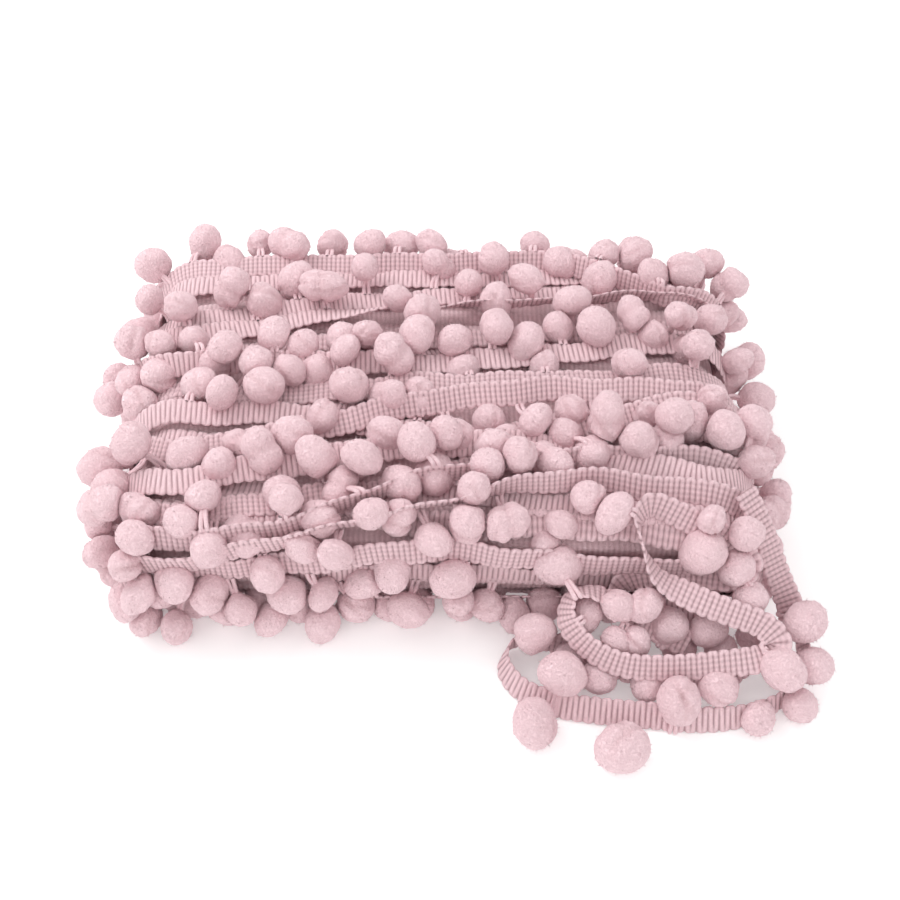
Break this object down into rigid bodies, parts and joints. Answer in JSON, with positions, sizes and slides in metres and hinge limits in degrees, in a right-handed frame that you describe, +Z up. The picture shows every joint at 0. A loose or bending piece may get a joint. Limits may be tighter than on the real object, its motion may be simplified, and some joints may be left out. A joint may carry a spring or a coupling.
{
  "type": "pompom fringe trim",
  "caption": "Ribbed tape trim with soft pompoms on short hanging loops, wound flat into an oblong hank with its loose end lying in loops beside it.",
  "frame": {"origin": "middle of the hank's underside, on the outer face of the tape that lies on the table", "axes": "+X along the hank's length, +Y away from the loose end, +Z up"},
  "size_m": [0.303, 0.2612, 0.0764],
  "materials": {
    "wound_yarn": "matt woven tape and felted pompoms",
    "loose_yarn": "matt woven tape and felted pompoms"
  },
  "bodies": {
    "root": {"wound_hank": "wound_yarn", "loose_end": "loose_yarn"}
  },
  "joints": []
}
